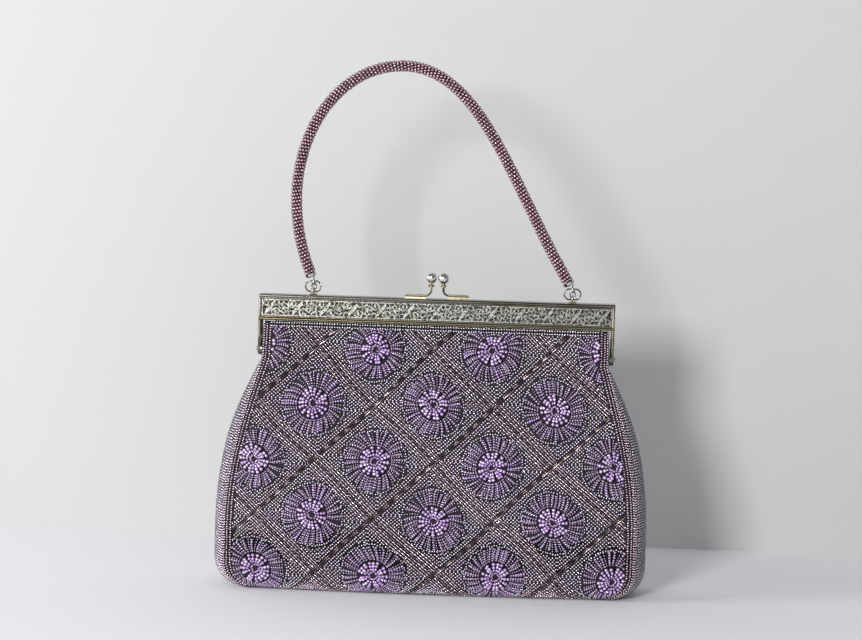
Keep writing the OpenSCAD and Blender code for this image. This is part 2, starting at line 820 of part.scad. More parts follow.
front_panel();
rear_panel();
left_gusset();
right_gusset();
base_panel();
base_card();
lining();
front_fold();
rear_fold();
left_hinge_rivet();
right_hinge_rivet();
front_frame();
front_filigree();
front_panel_top();
front_lining_top();
front_channel_cord();
front_clasp_arm();
front_clasp_ball();
rear_frame();
rear_filigree();
rear_panel_top();
rear_lining_top();
rear_channel_cord();
rear_clasp_arm();
rear_clasp_ball();
left_lug();
right_lug();
left_jump_rings();
right_jump_rings();
left_end_cap();
right_end_cap();
handle_core();
handle_beading();
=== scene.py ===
import math

import bmesh
import bpy
import numpy as np
from mathutils import Matrix, Vector


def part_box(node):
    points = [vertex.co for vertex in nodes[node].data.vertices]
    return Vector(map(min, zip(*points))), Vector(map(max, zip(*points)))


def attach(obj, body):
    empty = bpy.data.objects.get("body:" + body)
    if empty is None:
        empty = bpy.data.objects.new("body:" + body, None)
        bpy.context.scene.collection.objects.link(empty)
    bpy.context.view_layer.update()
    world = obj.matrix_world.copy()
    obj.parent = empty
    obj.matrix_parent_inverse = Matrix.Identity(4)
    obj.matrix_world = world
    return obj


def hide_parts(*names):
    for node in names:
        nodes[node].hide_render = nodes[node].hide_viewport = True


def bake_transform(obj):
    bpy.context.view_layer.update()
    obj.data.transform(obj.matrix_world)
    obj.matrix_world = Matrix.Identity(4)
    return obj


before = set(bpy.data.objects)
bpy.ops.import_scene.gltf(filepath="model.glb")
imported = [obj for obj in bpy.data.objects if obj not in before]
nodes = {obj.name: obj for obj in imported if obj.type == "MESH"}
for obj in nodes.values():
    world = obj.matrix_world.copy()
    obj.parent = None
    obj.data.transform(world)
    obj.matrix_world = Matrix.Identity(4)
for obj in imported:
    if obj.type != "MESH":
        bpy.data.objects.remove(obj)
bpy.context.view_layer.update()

MM = 0.001
rng = np.random.default_rng(11)

# Sizes of the bag in millimetres, taken from the frame where it holds them
frame_face = 14.5
frame_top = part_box("front_frame")[1].z / MM
frame_low = frame_top - frame_face
hinge_z = (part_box("left_hinge_rivet")[0].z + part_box("left_hinge_rivet")[1].z) / 2 / MM
recess_y, rail_height = 5.3, 1.9
flare_z = frame_low - 0.5
panel_top_z = hinge_z - 4
neck_d, belly_d, belly_z = 4.4, 26.0, 35.0
neck_x, belly_x = 97.3, 115.0
edge_r, corner_r = 8.0, 16.0
panel_bulge, gusset_bulge = 5.0, 7.0
base_t = edge_r * (1 - math.pi / 2)
gusset_low = corner_r * (1 - math.pi / 2)
gusset_high = panel_top_z - 2.5
bead_depth, cloth_thickness = 1.15, 0.5
satin_low, satin_depth, satin_thickness, card_thickness = 3.0, 2.6, 0.4, 2.0
handle_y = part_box("left_lug")[0].y / MM / 2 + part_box("left_lug")[1].y / MM / 2


# Surfaces of the bag: x runs along the frame, t is the height, which follows the cloth round the lower edge

def rise(share):
    """An easing from 0 to 1 that starts fast and levels out."""
    return np.sin(np.pi / 2 * np.clip(share, 0, 1))


def seam_depth(z):
    return neck_d + (belly_d - neck_d) * rise((flare_z - z) / (flare_z - belly_z))


def seam_width(z):
    return neck_x + (belly_x - neck_x) * rise((panel_top_z - z) / (panel_top_z - belly_z))


def swell(z):
    """How full the bag is at a height, from flat near the frame to whole lower down."""
    return 0.05 + 0.95 * rise((panel_top_z - z) / (0.55 * (panel_top_z - belly_z)))


def roll_under(t, radius):
    """Height and draw-in of the cloth at t, where it rolls under with a radius and then runs flat."""
    turn = np.clip((radius - t) / radius, 0, math.pi / 2)
    z = np.where(t >= radius, t, radius * (1 - np.sin(turn)))
    flat = np.maximum(0, radius * (1 - math.pi / 2) - t)
    return z, radius * (1 - np.cos(turn)) + flat


def corner_cut(z):
    """How far the rounded lower corner draws a panel in at a height."""
    h = np.clip(z, 0, corner_r)
    return corner_r - np.sqrt(np.maximum(0, corner_r ** 2 - (corner_r - h) ** 2))


def panel_edge(t):
    """Half width of a panel between its seams at t."""
    z, _ = roll_under(t, edge_r)
    return seam_width(z) - corner_cut(z)


def front_surface(x, t):
    z, cut = roll_under(t, edge_r)
    u = np.clip(x / panel_edge(t), -1.2, 1.2)
    depth = seam_depth(z) - cut + panel_bulge * swell(z) * (1 - u * u)
    return np.stack([x, -depth, z], -1)


def gusset_reach(t):
    """Half width of a gusset between its seams at t."""
    z, _ = roll_under(t, corner_r)
    _, cut = roll_under(z, edge_r)
    return seam_depth(z) - cut


def right_surface(y, t):
    z, cut = roll_under(t, corner_r)
    v = np.clip(y / gusset_reach(t), -1.2, 1.2)
    x = seam_width(z) - cut + gusset_bulge * swell(z) * (1 - v * v)
    return np.stack([x, y + 0 * x, z], -1)


def base_surface(x, y):
    """The underside. It is seen from below, so its second direction runs forwards."""
    return np.stack([x, -y, np.zeros_like(x)], -1)


def directions(surface, a, b):
    """The two unit directions along a surface at each point, and the unit normal outwards."""
    step = 0.05
    along = surface(a + step, b) - surface(a - step, b)
    across = surface(a, b + step) - surface(a, b - step)
    along /= np.linalg.norm(along, axis=-1, keepdims=True)
    normal = np.cross(along, across)
    normal /= np.linalg.norm(normal, axis=-1, keepdims=True)
    return along, np.cross(normal, along), normal


# Colours, as seen on the object. Bead colours show as painted highlight in each bead's middle; the rim
# colours are painted shade.

def paint(red, green, blue):
    """A colour given as 0 to 255 values, as the linear values that shaders take."""
    c = np.array([red, green, blue], float) / 255
    return np.where(c <= 0.04045, c / 12.92, ((c + 0.055) / 1.055) ** 2.4)


LILAC = paint(198, 160, 224)
LILAC_LIGHT = paint(218, 188, 238)
LILAC_DEEP = paint(176, 152, 192)
# Lighter white for the rows under the frame: painted light against the frame's shadow.
LUSTRE = paint(240, 226, 250)
LUSTRE_ROSE = paint(244, 216, 236)
TOP_ROWS_PAINTED_LIGHT = paint(250, 244, 250)
LUSTRE_LILAC = paint(206, 190, 218)
# Painted shade at the rims of the glass beads.
PAINTED_RIM_SHADE = paint(50, 36, 54)
# Painted glint: the pink of bugles where they would catch the light.
PAINTED_GLINT_PINK = paint(228, 200, 196)
BROWN = paint(100, 78, 78)
BURGUNDY = paint(206, 158, 170)
# Painted shade at the rims of the handle's beads.
BURGUNDY_PAINTED_RIM_SHADE = paint(70, 36, 46)
# Painted shade: near black on the recess floor behind the strip.
RECESS_PAINTED_SHADE = (0.03, 0.028, 0.024, 1.0)


def shader(name, roughness, metallic=0.0, coat=0.0):
    """A material with its node tree and its shader node."""
    m = bpy.data.materials.new(name)
    m.use_nodes = True
    tree = m.node_tree
    bsdf = tree.nodes["Principled BSDF"]
    bsdf.inputs["Roughness"].default_value = roughness
    bsdf.inputs["Metallic"].default_value = metallic
    bsdf.inputs["Coat Weight"].default_value = coat
    bsdf.inputs["Coat Roughness"].default_value = 0.12
    return m, tree, bsdf


def add(tree, kind, inputs=(), **settings):
    """A new node, with its settings, and with each input wired to a socket or set to a value."""
    node = tree.nodes.new(kind)
    for key, value in settings.items():
        setattr(node, key, value)
    for key, value in dict(inputs).items():
        if isinstance(value, bpy.types.NodeSocket):
            tree.links.new(value, node.inputs[key])
        else:
            node.inputs[key].default_value = value
    return node


def object_coordinates(tree):
    return add(tree, "ShaderNodeTexCoord").outputs["Object"]


def noise(tree, place, scale, detail=3.0):
    return add(tree, "ShaderNodeTexNoise", {"Vector": place, "Scale": scale, "Detail": detail}).outputs["Fac"]


def ramp(tree, factor, stops):
    """A colour ramp, with its stops as (place, colour) pairs."""
    node = add(tree, "ShaderNodeValToRGB", {"Fac": factor})
    elements = node.color_ramp.elements
    while len(elements) < len(stops):
        elements.new(0.5)
    for element, (place, colour) in zip(elements, stops):
        element.position = place
        element.color = (*colour, 1.0)
    return node.outputs["Color"]


def bump(tree, bsdf, height, strength, distance=0.0002):
    node = add(tree, "ShaderNodeBump", {"Height": height, "Strength": strength, "Distance": distance})
    tree.links.new(node.outputs["Normal"], bsdf.inputs["Normal"])


def glass_beads(name, roughness, metallic, facing, edge=PAINTED_RIM_SHADE):
    """Glass beads, each with its own colour: painted highlight, bright where the bead faces the camera,
    fading to painted shade in the edge colour towards its rim.
    """
    m, tree, bsdf = shader(name, roughness, metallic, coat=1.0)
    bsdf.inputs["Coat IOR"].default_value = 1.8
    colour = add(tree, "ShaderNodeAttribute", attribute_name="bead_colour").outputs["Color"]
    mottle = noise(tree, object_coordinates(tree), 900.0)
    shade = add(tree, "ShaderNodeMapRange", {
        "Value": mottle, "To Min": 0.75, "To Max": 1.25}).outputs["Result"]
    # Painted light: bright where the bead faces the camera, painted shade in the edge colour where it turns
    # away.
    turned = add(tree, "ShaderNodeLayerWeight", {"Blend": 0.5}).outputs["Facing"]
    middle = add(tree, "ShaderNodeMapRange", {
        "Value": turned, "From Min": facing[0], "From Max": facing[1], "To Min": 1.0, "To Max": 0.0})
    mottled = add(tree, "ShaderNodeHueSaturation", {"Color": colour, "Value": shade}).outputs["Color"]
    painted_highlight_and_shade = add(tree, "ShaderNodeMix", {"Factor": middle.outputs["Result"], "A": (*edge, 1.0), "B": mottled},
               data_type="RGBA").outputs["Result"]
    tree.links.new(painted_highlight_and_shade, bsdf.inputs["Base Color"])
    polish = add(tree, "ShaderNodeMapRange", {
        "Value": mottle, "To Min": roughness * 0.7, "To Max": roughness * 1.4})
    tree.links.new(polish.outputs["Result"], bsdf.inputs["Roughness"])
    return m


def woven_cloth(name, dark, light, scale, sheen):
    m, tree, bsdf = shader(name, 0.8)
    bsdf.inputs["Sheen Weight"].default_value = sheen
    place = object_coordinates(tree)
    weave = add(tree, "ShaderNodeTexWave", {
        "Vector": place, "Scale": scale, "Distortion": 1.5, "Detail": 1.0},
        bands_direction="DIAGONAL").outputs["Fac"]
    tree.links.new(ramp(tree, weave, [(0.2, dark), (0.8, light)]), bsdf.inputs["Base Color"])
    bump(tree, bsdf, weave, 0.4)
    return m


def between(tree, value, low, high):
    """1 where the value lies between low and high, 0 outside."""
    above = add(tree, "ShaderNodeMath", {0: value, 1: low}, operation="GREATER_THAN").outputs[0]
    below = add(tree, "ShaderNodeMath", {0: value, 1: high}, operation="LESS_THAN").outputs[0]
    return add(tree, "ShaderNodeMath", {0: above, 1: below}, operation="MULTIPLY").outputs[0]


def rail_painted_light(tree, place):
    """The rolled rails above and below the strip, with painted light by height: painted shade dark in the
    grooves, painted highlights bright on the rolls, warm at the foot.
    """
    height = add(tree, "ShaderNodeSeparateXYZ", {0: place}).outputs["Z"]
    share = add(tree, "ShaderNodeMapRange", {
        "Value": height, "From Min": frame_low * MM, "From Max": frame_top * MM}).outputs["Result"]
    stops = [
        (0.0, (206, 202, 192)), (0.02, (120, 108, 82)), (0.07, (228, 214, 178)), (0.1, (160, 146, 112)),
        (0.15, (244, 240, 228)), (0.84, (244, 242, 236)), (0.88, (176, 172, 168)), (0.93, (216, 212, 208)),
        (1.0, (120, 116, 114)),
    ]
    return ramp(tree, share, [(at, paint(*shade)) for at, shade in stops])


def recess_shade_mask(tree, place, fade):
    """1 on the recess's floor behind the strip, where painted shade darkens it, and 0 past the depths in
    fade, given in millimetres.
    """
    split = add(tree, "ShaderNodeSeparateXYZ", {0: place}).outputs
    depth = add(tree, "ShaderNodeMath", {0: split["Y"]}, operation="ABSOLUTE").outputs[0]
    mask = add(tree, "ShaderNodeMapRange", {
        "Value": depth, "From Min": fade[0] * MM, "From Max": fade[1] * MM,
        "To Min": 1.0, "To Max": 0.0}).outputs["Result"]
    face = between(tree, split["Z"], (frame_low + rail_height) * MM, (frame_top - rail_height) * MM)
    outer = between(tree, depth, (recess_y - 0.2) * MM, 1.0)
    for other in (face, outer):
        mask = add(tree, "ShaderNodeMath", {0: mask, 1: other}, operation="MULTIPLY").outputs[0]
    return mask


def plated_metal(name, bright, tarnish, roughness, shaded_recess=None, wear_scale=260.0, streak=1.0, rails=False,
                 grain=0.04):
    """Old plate: bright metal with cloudy tarnish, painted shade and highlights on the rails where asked, and
    near-black painted shade on the recess floor where it has one.
    """
    m, tree, bsdf = shader(name, roughness, 1.0)
    place = object_coordinates(tree)
    drawn = add(tree, "ShaderNodeMapping", {"Vector": place, "Scale": (streak, 1.0, 1.0)}).outputs["Vector"]
    clouds = noise(tree, drawn, wear_scale, 5.0)
    colour = ramp(tree, clouds, [(0.34, tarnish), (0.56, bright)])
    # Painted light on the rails: shade in the grooves and highlights on the rolls, by height.
    if rails:
        colour = add(tree, "ShaderNodeMix", {"Factor": 1.0, "A": colour, "B": rail_painted_light(tree, place)},
                     data_type="RGBA", blend_type="MULTIPLY").outputs["Result"]
    # Painted shade: near black on the recess floor behind the strip.
    if shaded_recess:
        colour = add(tree, "ShaderNodeMix", {
            "Factor": recess_shade_mask(tree, place, shaded_recess), "A": colour, "B": RECESS_PAINTED_SHADE},
            data_type="RGBA").outputs["Result"]
    tree.links.new(colour, bsdf.inputs["Base Color"])
    rough = add(tree, "ShaderNodeMapRange", {
        "Value": clouds, "To Min": roughness * 1.5, "To Max": roughness * 0.6})
    tree.links.new(rough.outputs["Result"], bsdf.inputs["Roughness"])
    bump(tree, bsdf, noise(tree, drawn, wear_scale * 4), grain)
    return m


def plain_card(name):
    m, tree, bsdf = shader(name, 0.9)
    fibres = noise(tree, object_coordinates(tree), 300.0, 6.0)
    brown = ramp(tree, fibres, [(0.3, paint(150, 122, 88)), (0.7, paint(178, 150, 112))])
    tree.links.new(brown, bsdf.inputs["Base Color"])
    return m


# Each bead material paints highlight in the middle and shade at the rim, over the facing range given.
lustre_beads = glass_beads("lustre_beads", 0.28, 0.3, (0.05, 0.38))
lilac_beads = glass_beads("lilac_beads", 0.26, 0.15, (0.06, 0.75))
bugle_glass = glass_beads("bugle_glass", 0.14, 0.7, (0.05, 0.6))
handle_glass = glass_beads("handle_glass", 0.24, 0.3, (0.03, 0.3), BURGUNDY_PAINTED_RIM_SHADE)
ground_cloth = woven_cloth("ground_cloth", paint(22, 17, 24), paint(40, 30, 42), 1400.0, 0.1)
lining_satin = woven_cloth("lining_satin", paint(38, 28, 46), paint(62, 48, 74), 900.0, 0.6)
cotton_cord = woven_cloth("cotton_cord", paint(170, 160, 142), paint(206, 196, 178), 1200.0, 0.2)
frame_silver = plated_metal("frame_silver", paint(170, 167, 160), paint(118, 112, 96), 0.2,
                            shaded_recess=(5.32, 5.45), streak=0.08, rails=True)
filigree_silver = plated_metal("filigree_silver", paint(150, 150, 144), paint(60, 58, 52), 0.3,
                               shaded_recess=(5.3, 5.7), wear_scale=900.0, grain=0.35)
wire_silver = plated_metal("wire_silver", paint(152, 151, 145), paint(72, 69, 62), 0.3, wear_scale=900.0,
                           grain=0.2)
rivet_silver = plated_metal("rivet_silver", paint(196, 192, 182), paint(128, 122, 108), 0.3)
clasp_gold = plated_metal("clasp_gold", paint(214, 206, 178), paint(160, 150, 120), 0.26)
ball_silver = plated_metal("ball_silver", paint(226, 225, 222), paint(196, 194, 188), 0.09)
ring_silver = plated_metal("ring_silver", paint(142, 140, 136), paint(74, 71, 66), 0.18, wear_scale=500.0)
card = plain_card("card")


# Bead shapes, each about 1 in radius and 2 in length along X, and the wire ring for the filigree

def template(build):
    """Points and triangles of a small closed shape."""
    b = bmesh.new()
    build(b)
    bmesh.ops.triangulate(b, faces=b.faces[:])
    bmesh.ops.recalc_face_normals(b, faces=b.faces[:])
    b.verts.index_update()
    points = np.array([v.co[:] for v in b.verts])
    triangles = np.array([[v.index for v in f.verts] for f in b.faces])
    b.free()
    return points, triangles


def seed(b):
    """A seed bead, as small as it is seen."""
    bmesh.ops.create_icosphere(b, subdivisions=1, radius=1.0)


def tube(b):
    """A cut glass bugle."""
    bmesh.ops.create_cone(b, cap_ends=True, segments=6, radius1=1.0, radius2=1.0, depth=2.0)
    bmesh.ops.rotate(b, verts=b.verts[:], matrix=Matrix.Rotation(math.pi / 2, 3, "Y"))


def barrel(b):
    """A seed bead with a flat at each end of its hole."""
    end_r = 0.62
    bmesh.ops.create_cone(b, cap_ends=True, segments=8, radius1=end_r, radius2=end_r, depth=1.9)
    sides = [e for e in b.edges if abs(e.verts[0].co.z - e.verts[1].co.z) > 1]
    bmesh.ops.subdivide_edges(b, edges=sides, cuts=1)
    for v in b.verts:
        if abs(v.co.z) < 0.1:
            v.co.x *= 1.0 / end_r
            v.co.y *= 1.0 / end_r
    bmesh.ops.rotate(b, verts=b.verts[:], matrix=Matrix.Rotation(math.pi / 2, 3, "Y"))


def wire_ring(b):
    """A ring of thin wire round Z."""
    wire_r = 0.22
    bmesh.ops.create_circle(b, segments=4, radius=wire_r)
    bmesh.ops.rotate(b, verts=b.verts[:], matrix=Matrix.Rotation(math.pi / 2, 3, "X"))
    bmesh.ops.translate(b, verts=b.verts[:], vec=(1 - wire_r, 0, 0))
    bmesh.ops.spin(b, geom=b.verts[:] + b.edges[:], cent=(0, 0, 0), axis=(0, 0, 1), angle=2 * math.pi,
                   steps=8, use_merge=True)
    bmesh.ops.remove_doubles(b, verts=b.verts[:], dist=0.001)


SEED, TUBE, BARREL, WIRE_RING = template(seed), template(tube), template(barrel), template(wire_ring)


class Strand:
    """A growing set of beads on a surface: place, direction along it, half sizes, lift and colour."""

    def __init__(self):
        self.rows = []

    def put(self, a, b, angle, half_length, half_width, colour, lift=0.0):
        """Adds one bead or many. Angles are in radians from the surface's first direction."""
        a = np.atleast_1d(np.asarray(a, float))
        given = (b, angle, half_length, half_width, lift)
        parts = [np.broadcast_to(np.asarray(v, float), a.shape) for v in given]
        colour = np.broadcast_to(np.asarray(colour, float), (len(a), 3))
        self.rows.append(np.column_stack([a, *parts, colour]))

    def all(self):
        return np.concatenate(self.rows)


def tinted(colour, count, spread=0.16):
    """The same colour for many beads, each a little lighter or darker than the next."""
    shades = 1 + spread * rng.standard_normal(count)
    return np.clip(colour[None, :] * shades[:, None], 0, 1)


turn_spread, size_spread = 0.06, 0.05


def strew(name, beads, surface, shape, material, turned=False, jitter=0.08):
    """Makes one piece of many beads that lie on a surface, their outer sides level with it."""
    a, b, angle, half_l, half_w, lift = beads[:, :6].T
    count = len(a)
    a = a + jitter * rng.standard_normal(count)
    b = b + jitter * rng.standard_normal(count)
    angle = angle + turn_spread * rng.standard_normal(count)
    size = 1 + size_spread * rng.standard_normal(count)
    along, across, normal = directions(surface, a, b)
    thread = np.cos(angle)[:, None] * along + np.sin(angle)[:, None] * across
    side = np.cross(normal, thread)
    centre = surface(a, b) + normal * (lift - half_w)[:, None]
    return strew_at(name, centre, (thread, side, normal), half_l * size, half_w * size, beads[:, 6:9], shape,
                    material, turned)


def half_turn(co):
    """Points of the front or the right side carried to the rear or the left side."""
    return co * np.array([-1.0, -1.0, 1.0])


def strew_at(name, centre, ways, half_l, half_w, colour, shape, material, turned=False):
    """Makes one piece of many copies of a shape, each with its own middle, directions and half sizes."""
    thread, side, normal = ways
    points, triangles = shape
    co = (centre[:, None, :] + points[None, :, :1] * (half_l[:, None] * thread)[:, None, :]
          + points[None, :, 1:2] * (half_w[:, None] * side)[:, None, :]
          + points[None, :, 2:3] * (half_w[:, None] * normal)[:, None, :])
    if turned:
        co = half_turn(co)
    count, n = len(centre), len(points)
    index = (triangles[None] + (np.arange(count) * n)[:, None, None]).reshape(-1)
    mesh = bpy.data.meshes.new(name)
    mesh.vertices.add(count * n)
    mesh.vertices.foreach_set("co", (co * MM).ravel())
    mesh.loops.add(len(index))
    mesh.loops.foreach_set("vertex_index", index)
    mesh.polygons.add(len(index) // 3)
    mesh.polygons.foreach_set("loop_start", np.arange(0, len(index), 3))
    mesh.update(calc_edges=True)
    mesh.shade_smooth()
    rgba = np.ones((count, n, 4))
    rgba[:, :, :3] = colour[:, None, :]
    mesh.attributes.new("bead_colour", "FLOAT_COLOR", "POINT").data.foreach_set("color", rgba.ravel())
    return finish_piece(name, mesh, material)


def finish_piece(name, mesh, material):
    """Links a mesh as a new piece of the purse, with its material."""
    piece = bpy.data.objects.new(name, mesh)
    bpy.context.scene.collection.objects.link(piece)
    mesh.materials.append(material)
    return piece


def bend_at_hinge(piece):
    """Bakes a piece's placement into its mesh."""
    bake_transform(piece)


# The pattern in millimetres: rosettes in a lattice of crossing lines, with half sizes for the beads

seed_w, seed_l = 0.7, 0.62
row_pitch, bead_pitch = 1.5, 1.42
cell_x, cell_t = 33.3, 31.0
pattern_x, pattern_t = 1.0, 136.0
cell_h = cell_x * cell_t / math.hypot(cell_x, cell_t)
rise_angle = math.atan2(cell_t, cell_x)
seam_band, top_band, hem_band = 5.6, 2.8, 0.6
rosette_r, rosette_gap, round_row_gap = 16.6, 1.9, 0.8

nested_rows = 9
first_from_fall, first_from_rise = 5.5, 2.0
fine_rows_at, fine_row_end = (1.3, 2.7, 4.1), 1.2
fine_l, fine_w, fine_pitch = 1.22, 0.34, 2.6

roll_t = 9.0
rise_bugle, fall_bugle, short_bugle = 3.7, 2.25, 1.1
rise_bugle_w, fall_bugle_w = 0.42, 0.5
rise_bugles_aside = 0.5

heart_spokes = 17
heart_radii = np.array([2.2, 3.9, 5.6, 7.3])
heart_lengths = np.array([0.8, 1.0, 1.15, 1.15])
heart_widths = np.array([0.46, 0.78, 1.06, 1.22])
heart_heights = np.array([1.0, 2.9, 3.7, 2.7])
ring_strands, ring_beads = 56, 6
ring_inner, ring_height = 8.7, 1.9


def hand_drift(x, t):
    """A point of the drawn pattern as the beadworker's hand placed it, strayed in slow waves."""
    dx = 0.7 * np.sin(x / 19 + t / 31) + 0.5 * np.sin(t / 11 - x / 47)
    dt = 0.7 * np.sin(x / 23 - t / 17 + 1) + 0.4 * np.sin(x / 9 + 2)
    pull_in = -0.05 * x * np.clip((t - 112) / 36, 0, 1) * np.clip(np.abs(x) / 100, 0, 1) ** 2
    shear = -0.032 * (t - 86)
    return x + dx + pull_in + shear, t + dt


def inside_panel(x, t):
    return (np.abs(x) < panel_edge(t) - seam_band) & (t < flare_z - top_band) & (t > base_t + hem_band)


def run(start, end, pitch):
    """Evenly spaced points from start to end, with the angle of the run."""
    start, end = np.asarray(start, float), np.asarray(end, float)
    length = np.linalg.norm(end - start)
    count = max(0, int(round(length / pitch)))
    if count == 0:
        return np.zeros((0, 2)), 0.0
    share = (np.arange(count) + 0.5) / count
    return start + (end - start) * share[:, None], math.atan2(end[1] - start[1], end[0] - start[0])


def lay(strand, points, angle, half_l, half_w, colour, lift=0.0, spread=0.16, keep=None):
    """Puts a run of beads of the pattern on the cloth, where it lies within the panel's seams.

    The lift fades out where the cloth nears the floor, so that no bead stands under the bag.
    """
    if len(points) == 0:
        return
    x, t = hand_drift(points[:, 0], points[:, 1])
    lift = np.minimum(lift, np.maximum(lift * (t - 2) / 12, 0))
    held = inside_panel(x, t)
    if keep is not None:
        held &= keep
    count = int(held.sum())
    if count:
        given = (angle, half_l, half_w, lift)
        angle, half_l, half_w, lift = (np.broadcast_to(v, held.shape)[held] for v in given)
        shades = 1 + spread * rng.standard_normal((count, 1))
        colour = np.clip(np.broadcast_to(colour, (len(held), 3))[held] * shades, 0, 1)
        strand.put(x[held], t[held], angle, half_l, half_w, colour, lift)


def inset_corner(centre, side_fall, side_rise, from_fall, from_rise):
    """A corner of the cell drawn in from its falling and rising sides."""
    s, c = math.sin(rise_angle), math.cos(rise_angle)
    normals = np.array([[s, c], [-s, c]])
    wanted = np.array([side_fall * (cell_h - from_fall), side_rise * (cell_h - from_rise)])
    return centre + np.linalg.solve(normals, wanted)


def ground_rows(strand, fine, centre):
    """Plain rows nested in the cell on all four sides, and fine rows along its two falling sides."""
    for j in range(nested_rows):
        inset = first_from_fall + row_pitch * j, first_from_rise + row_pitch * j
        corners = [inset_corner(centre, *sides, *inset) for sides in ((1, 1), (1, -1), (-1, -1), (-1, 1))]
        for k in range(4):
            points, angle = run(corners[k], corners[(k + 1) % 4], bead_pitch)
            far = np.linalg.norm(points - centre, axis=1) > rosette_r + rosette_gap
            colour = LUSTRE if rng.random() > 0.3 else LUSTRE_ROSE
            lay(strand, points, angle, seed_l, seed_w, colour, keep=far)
    for from_fall in fine_rows_at:
        for side in (1, -1):
            start = inset_corner(centre, side, 1, from_fall, fine_row_end)
            end = inset_corner(centre, side, -1, from_fall, fine_row_end)
            points, angle = run(start, end, fine_pitch)
            lay(fine, points, angle, fine_l, fine_w, LUSTRE_ROSE, spread=0.2)


def bugle_row(strand, start, end, aside, half_l, half_w, colours, lift):
    """A row of bugles beside a line, with short ones where the cloth rolls under at the lower edge."""
    for reach, low, high in ((half_l, roll_t, math.inf), (short_bugle, -math.inf, roll_t)):
        points, angle = run(start, end, 2 * reach + 0.2)
        points = points + aside * np.array([-math.sin(angle), math.cos(angle)])
        # Painted glints: clusters of bugles take the second, light colour as if they caught the light.
        painted_glint = np.sin(points[:, 0] / 17 + points[:, 1] / 29) + 0.5 * rng.standard_normal(len(points))
        colour = np.where(painted_glint[:, None] > 0.4, colours[1], colours[0])
        held = (points[:, 1] >= low) & (points[:, 1] < high)
        lay(strand, points, angle, reach, half_w, colour, lift=lift, spread=0.2, keep=held)


def lattice_lines(strand, centre):
    """Two rows of long bugles on the cell's upper rising side, and one row on its upper falling side."""
    top, left, right = (inset_corner(centre, *sides, 0, 0) for sides in ((1, 1), (-1, 1), (1, -1)))
    bugle_row(strand, left, top, rise_bugles_aside, rise_bugle, rise_bugle_w, (BROWN, BROWN), -0.2)
    # This row mixes brown bugles with painted glints.
    bugle_row(strand, left, top, -rise_bugles_aside, rise_bugle, rise_bugle_w, (BROWN, PAINTED_GLINT_PINK), 0.0)
    bugle_row(strand, top, right, 0.0, fall_bugle, fall_bugle_w, (BROWN, BROWN), -0.1)


def round_point(centre, radius, angle):
    """Points at given distances and angles from a centre."""
    return centre + radius[:, None] * np.stack([np.cos(angle), np.sin(angle)], -1)


def flower(strand, centre):
    """The puffed heart: loops of lilac beads that rise from a dark middle and fall to its edge."""
    beads = len(heart_radii)
    first = rng.random() * 2 * math.pi
    for k in range(heart_spokes):
        angle = first + 2 * math.pi * k / heart_spokes + 0.03 * rng.standard_normal()
        colour = LILAC if rng.random() > 0.5 else LILAC_LIGHT
        radius = heart_radii + 0.25 * rng.standard_normal() + 0.12 * rng.standard_normal(beads)
        twist = angle + 0.02 * rng.standard_normal() * np.arange(beads)
        lay(strand, round_point(centre, radius, twist), twist, heart_lengths, heart_widths, colour,
            lift=heart_heights, spread=0.12)


def outer_ring(lilac, dark, centre):
    """The ring of strands round the heart, lilac and dark by turns, puffed between its two edges."""
    share = (np.arange(ring_beads) + 0.5) / ring_beads
    height = ring_height * np.sin(math.pi * (0.02 + 0.9 * share)) ** 0.9
    first = rng.random() * 2 * math.pi
    sway_1, sway_2 = rng.random(2) * 2 * math.pi
    for k in range(ring_strands):
        angle = first + 2 * math.pi * (k + 0.18 * rng.standard_normal()) / ring_strands
        lean = 0.16 * math.sin(angle + sway_1) + 0.09 * math.sin(3 * angle + sway_2)
        reach = rosette_r + 0.5 * math.sin(2 * angle + sway_1) + 0.5 * rng.standard_normal()
        twist = angle + lean * share
        points = round_point(centre, ring_inner + (reach - ring_inner) * share, twist)
        half_l = (reach - ring_inner) / ring_beads / 2
        if k % 2 == 0:
            colour = LILAC_DEEP if rng.random() > 0.15 else LILAC
            lay(lilac, points, twist, half_l * 1.15, 0.68 + 0.32 * share, colour, lift=height, spread=0.12)
        else:
            lay(dark, points, twist, half_l * 0.85, 0.36 + 0.24 * share, LUSTRE_LILAC, lift=height - 0.5,
                spread=0.18)


def round_row(strand, centre, radius):
    """A row of seed beads round the rosette, inside its cell's lines."""
    count = int(2 * math.pi * radius / bead_pitch)
    angle = 2 * math.pi * np.arange(count) / count
    strayed = radius + 0.3 * rng.standard_normal(count)
    points = round_point(centre, strayed, angle)
    away = points - centre
    s, c = math.sin(rise_angle), math.cos(rise_angle)
    inside = (np.abs(away @ [s, c]) < cell_h - 2.9) & (np.abs(away @ [-s, c]) < cell_h - 1.4)
    lay(strand, points, angle + math.pi / 2, seed_l, seed_w, LUSTRE, keep=inside)


def cell_centres():
    """The middles of the lattice's cells, also of those that only reach into the panel."""
    for row in range(-1, 6):
        for column in range(-5, 6):
            if (row + column) % 2:
                yield np.array([pattern_x + column * cell_x, pattern_t - row * cell_t])


def beside(surface_edge, inset, low, high, pitch):
    """Points along a seam, drawn in from it, with the angle of the row at each."""
    t = np.arange(low, high, pitch)
    x = surface_edge(t) - inset
    slope = surface_edge(t + 0.2) - surface_edge(t - 0.2)
    return x, t, np.arctan2(0.4, slope)


def seam_row(strand, edge, inset, low, high, pitch, half_w):
    """A row of seed beads along each of a surface's two seams."""
    along, t, angle = beside(edge, inset, low, high, pitch)
    for side in (1, -1):
        turn = angle if side > 0 else math.pi - angle
        strand.put(side * along, t, turn, seed_l * half_w / seed_w, half_w, tinted(LUSTRE_ROSE, len(along)))


